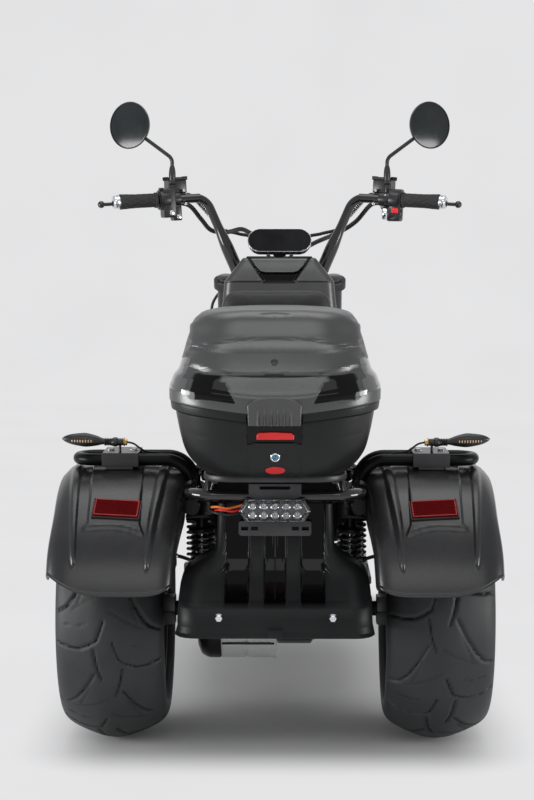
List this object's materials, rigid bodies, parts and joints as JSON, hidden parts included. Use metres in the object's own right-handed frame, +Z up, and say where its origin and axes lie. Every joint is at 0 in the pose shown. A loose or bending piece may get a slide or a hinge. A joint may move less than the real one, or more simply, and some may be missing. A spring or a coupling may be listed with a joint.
{
  "type": "three-wheeled electric scooter",
  "caption": "Black three-wheeled electric scooter with fat tyres, high handlebar, two-person saddle and a rear top case.",
  "frame": {"origin": "on the ground under the middle of the vehicle", "axes": "+Z up, +Y forward, +X to the vehicle's right"},
  "size_m": [0.8782, 2.0285, 1.3003],
  "materials": {
    "black_paint": "satin black paint",
    "black_plastic": "grained black moulding",
    "gloss_black": "polished black moulding",
    "tyre": "tread rubber",
    "grip_rubber": "moulded rubber",
    "seat_cover": "grained black cover",
    "alloy": "machined",
    "black_alloy": "satin black on cast alloy",
    "steel": "dull grey",
    "red_lens": "red reflector",
    "clear_lens": "clear lens over bright cells"
  },
  "bodies": {
    "chassis": {"head_tube": "black_paint", "left_frame_rail": "black_paint", "right_frame_rail": "black_paint", "floorboard": "black_plastic", "battery_box": "black_paint", "leg_shield": "black_plastic", "seat_housing": "black_plastic", "seat": "seat_cover", "luggage_rack": "black_paint", "left_fender_rail": "black_paint", "right_fender_rail": "black_paint", "left_fender": "black_paint", "right_fender": "black_paint", "left_reflector": "red_lens", "right_reflector": "red_lens", "left_rear_indicator": "black_plastic", "right_rear_indicator": "black_plastic", "rear_cover": "black_plastic", "tail_light": "clear_lens", "plate_bracket": "steel", "case_base": "black_plastic", "rear_axle": "black_paint", "drive_motor": "alloy", "swing_arm": "black_paint", "left_shocks": "black_paint", "right_shocks": "black_paint", "left_rear_caliper": "alloy", "right_rear_caliper": "alloy"},
    "lid": {"case_lid": "black_plastic", "backrest_pad": "seat_cover", "case_latch": "black_plastic"},
    "steering": {"fork": "black_paint", "upper_yoke": "black_alloy", "front_axle": "steel", "front_fender": "black_paint", "front_caliper": "alloy", "headlight": "black_paint", "front_indicators": "black_plastic", "handlebar": "black_paint", "display": "gloss_black", "left_grip": "grip_rubber", "right_grip": "grip_rubber", "left_control": "black_plastic", "right_control": "black_plastic", "left_mirror": "black_plastic", "right_mirror": "black_plastic", "brake_hoses": "grip_rubber"},
    "front_wheel": {"front_tyre": "tyre", "front_rim": "black_alloy"},
    "left_rear_wheel": {"left_rear_tyre": "tyre", "left_rear_rim": "black_alloy"},
    "right_rear_wheel": {"right_rear_tyre": "tyre", "right_rear_rim": "black_alloy"}
  },
  "joints": [
    {"name": "steering_turn", "type": "hinge", "parent": "chassis", "child": "steering", "pos_m": [0, 0.73103, 0.23576], "axis": [0, -0.4067, 0.9135], "range_deg": [-40, 40]},
    {"name": "front_wheel_spin", "type": "hinge", "parent": "steering", "child": "front_wheel", "pos_m": [0, 0.763, 0.25], "axis": [1, 0, 0], "continuous": true},
    {"name": "left_rear_wheel_spin", "type": "hinge", "parent": "chassis", "child": "left_rear_wheel", "pos_m": [-0.31, -0.637, 0.25], "axis": [1, 0, 0], "continuous": true},
    {"name": "right_rear_wheel_spin", "type": "hinge", "parent": "chassis", "child": "right_rear_wheel", "pos_m": [0.31, -0.637, 0.25], "axis": [1, 0, 0], "continuous": true},
    {"name": "case_lid_opening", "type": "hinge", "parent": "chassis", "child": "lid", "pos_m": [0, -0.617, 0.668], "axis": [-1, 0, 0], "range_deg": [0, 50]}
  ]
}
